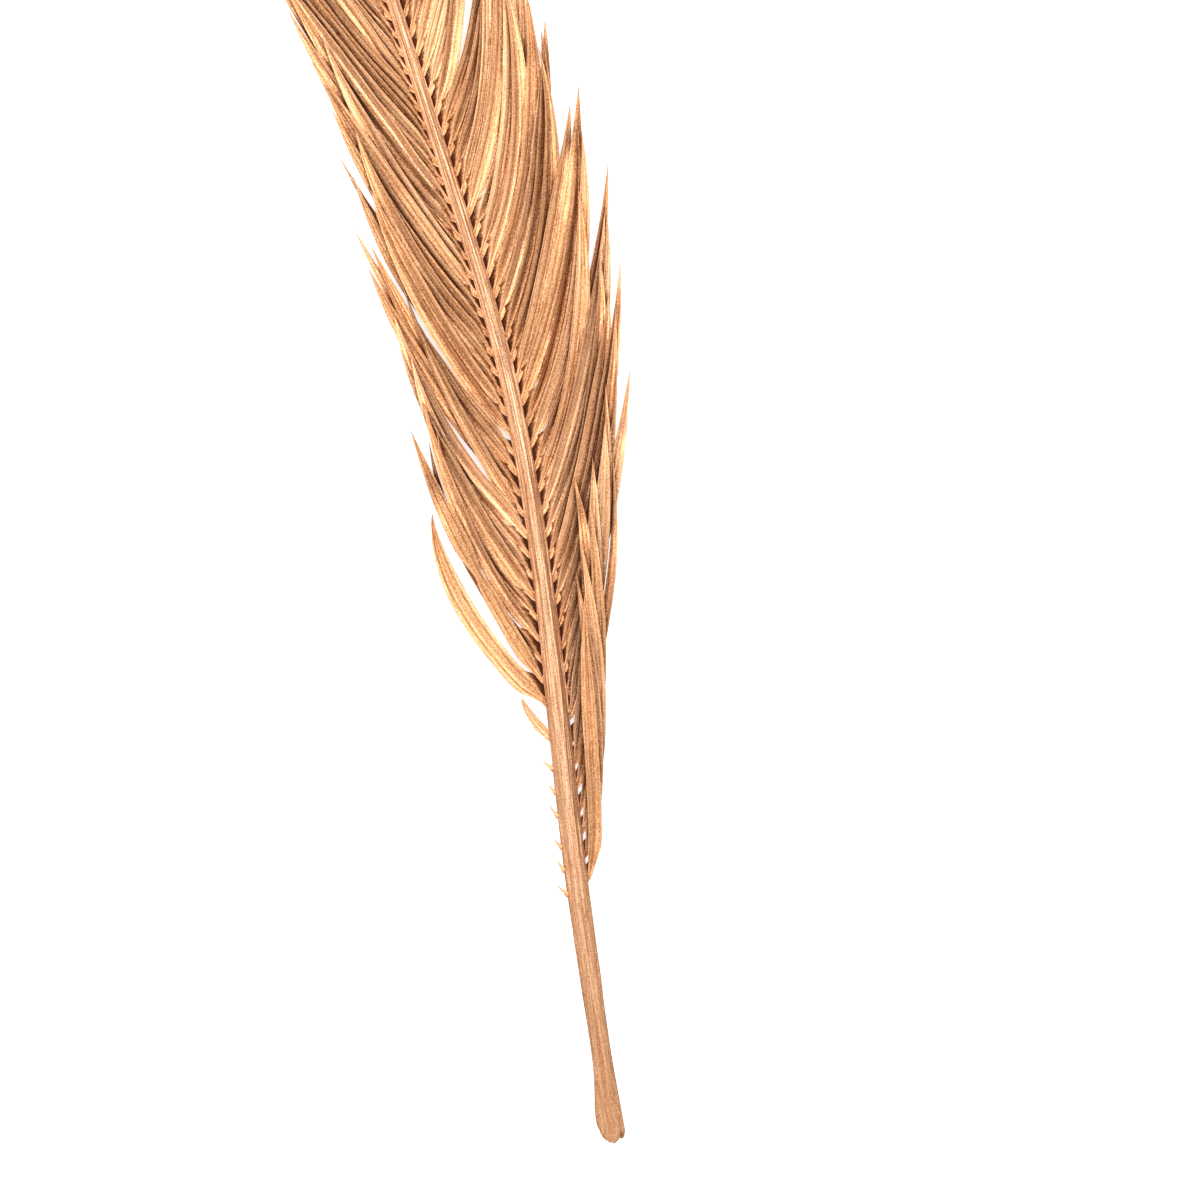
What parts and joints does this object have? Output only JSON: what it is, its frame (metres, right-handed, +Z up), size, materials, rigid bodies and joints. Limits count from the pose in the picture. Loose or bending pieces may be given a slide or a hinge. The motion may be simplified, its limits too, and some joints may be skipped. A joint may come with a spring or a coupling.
{
  "type": "dried date palm frond",
  "caption": "Dried feather-shaped palm frond with a flared cut stalk and long narrow leaflets, sprayed satin copper, lying face up as dry decoration.",
  "frame": {"origin": "on the surface it lies on, under the middle of the whole frond's box", "axes": "+Y from the cut base to the tip, +Z up off the surface, out of the frond's upper face; the stalk leans and bends to -X"},
  "size_m": [0.201, 0.7342, 0.0248],
  "materials": {
    "stalk": "dry stalk sprayed satin copper",
    "leaflet": "dry leaf sprayed satin copper, ribbed lengthwise",
    "spine": "dry spine sprayed satin copper"
  },
  "bodies": {
    "root": {"leaflet_stub": "leaflet", "leaflet_terminal": "leaflet", "leaflets_left_01": "leaflet", "leaflets_left_02": "leaflet", "leaflets_left_03": "leaflet", "leaflets_left_04": "leaflet", "leaflets_left_05": "leaflet", "leaflets_left_06": "leaflet", "leaflets_left_07": "leaflet", "leaflets_left_08": "leaflet", "leaflets_left_09": "leaflet", "leaflets_left_10": "leaflet", "leaflets_left_11": "leaflet", "leaflets_left_12": "leaflet", "leaflets_left_13": "leaflet", "leaflets_left_14": "leaflet", "leaflets_left_15": "leaflet", "leaflets_left_16": "leaflet", "leaflets_left_17": "leaflet", "leaflets_left_18": "leaflet", "leaflets_left_19": "leaflet", "leaflets_left_20": "leaflet", "leaflets_left_21": "leaflet", "leaflets_right_01": "leaflet", "leaflets_right_02": "leaflet", "leaflets_right_03": "leaflet", "leaflets_right_04": "leaflet", "leaflets_right_05": "leaflet", "leaflets_right_06": "leaflet", "leaflets_right_07": "leaflet", "leaflets_right_08": "leaflet", "leaflets_right_09": "leaflet", "leaflets_right_10": "leaflet", "leaflets_right_11": "leaflet", "leaflets_right_12": "leaflet", "leaflets_right_13": "leaflet", "leaflets_right_14": "leaflet", "leaflets_right_15": "leaflet", "leaflets_right_16": "leaflet", "leaflets_right_17": "leaflet", "leaflets_right_18": "leaflet", "leaflets_right_19": "leaflet", "leaflets_right_20": "leaflet", "leaflets_right_21": "leaflet", "leaflets_right_22": "leaflet", "rachis": "stalk", "spine_1": "spine", "spine_2": "spine", "spine_3": "spine", "spine_4": "spine", "spine_5": "spine", "spine_6": "spine"}
  },
  "joints": []
}
